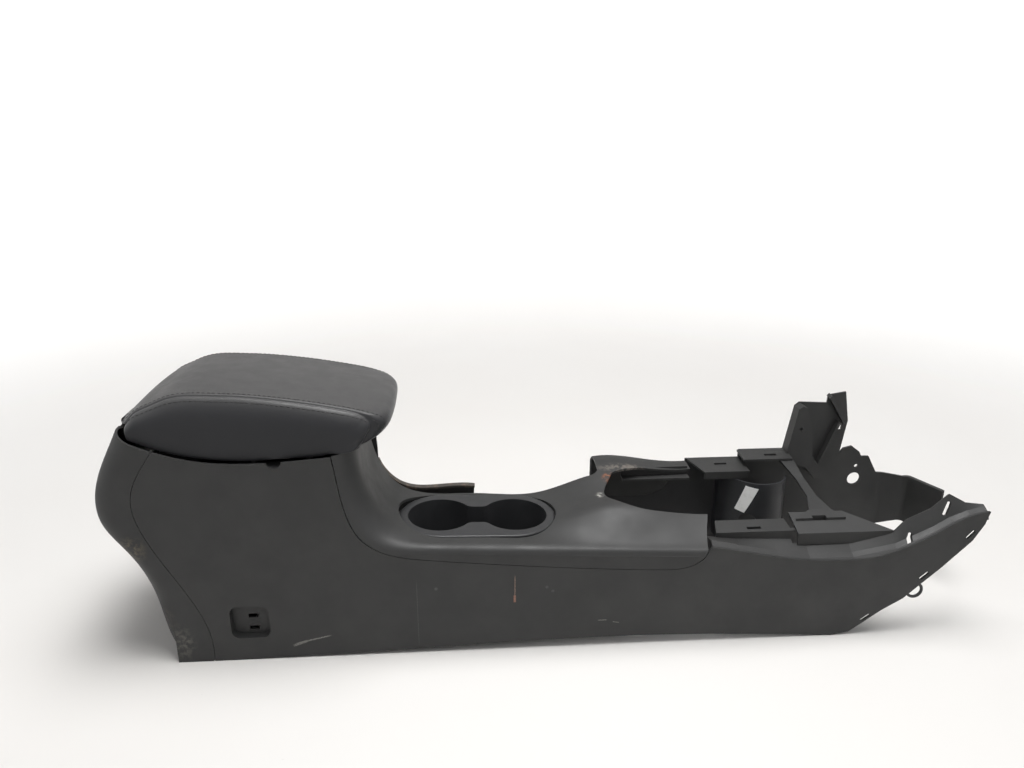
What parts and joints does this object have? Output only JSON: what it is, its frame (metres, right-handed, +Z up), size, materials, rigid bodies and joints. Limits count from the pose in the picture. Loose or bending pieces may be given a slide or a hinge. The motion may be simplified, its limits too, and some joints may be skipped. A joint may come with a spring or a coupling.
{
  "type": "car center console",
  "caption": "Bare car centre console with padded armrest lid, storage bin, double cup holder, handbrake slot, shifter well and front frame.",
  "frame": {"origin": "floor plane under the middle of the overall box", "axes": "+X towards the car's front, +Y towards the driver's side, +Z up"},
  "size_m": [1.0175, 0.19, 0.3282],
  "materials": {
    "trim_plastic": "fine moulded grain",
    "gloss_trim": "satin",
    "bin_plastic": "matt",
    "leather_cover": "satin grained leather with double stitched seam",
    "zinc_steel": "zinc plated",
    "pin_steel": "drawn",
    "soft_rubber": "matt",
    "worn_trim": "worn",
    "duct_plastic": "matt",
    "label_paper": "matt",
    "tie_nylon": "satin"
  },
  "bodies": {
    "console": {"body_shell": "trim_plastic", "upper_deck": "trim_plastic", "rear_cover": "trim_plastic", "cup_holder": "gloss_trim", "storage_bin": "bin_plastic", "hinge_bracket": "zinc_steel", "hinge_pin": "pin_steel", "hinge_spring": "pin_steel", "latch_striker": "zinc_steel", "bin_screws": "zinc_steel", "bracket_screws": "zinc_steel", "brake_slot_trim": "worn_trim", "air_duct": "duct_plastic", "blank_label": "label_paper", "tie_loop": "tie_nylon"},
    "lid": {"lid_pad": "leather_cover", "lid_panel": "bin_plastic", "latch_pin": "pin_steel", "latch_spring": "pin_steel", "lid_bumpers": "soft_rubber"},
    "latch": {"latch_paddle": "bin_plastic"}
  },
  "joints": [
    {"name": "lid_hinge", "type": "hinge", "parent": "console", "child": "lid", "pos_m": [-0.472, 0, 0.2825], "axis": [0, -1, 0], "range_deg": [0, 72]},
    {"name": "latch_pivot", "type": "hinge", "parent": "lid", "child": "latch", "pos_m": [-0.235, 0, 0.257], "axis": [0, -1, 0], "range_deg": [0, 8], "stiffness_Nm_per_rad": 0.05}
  ]
}
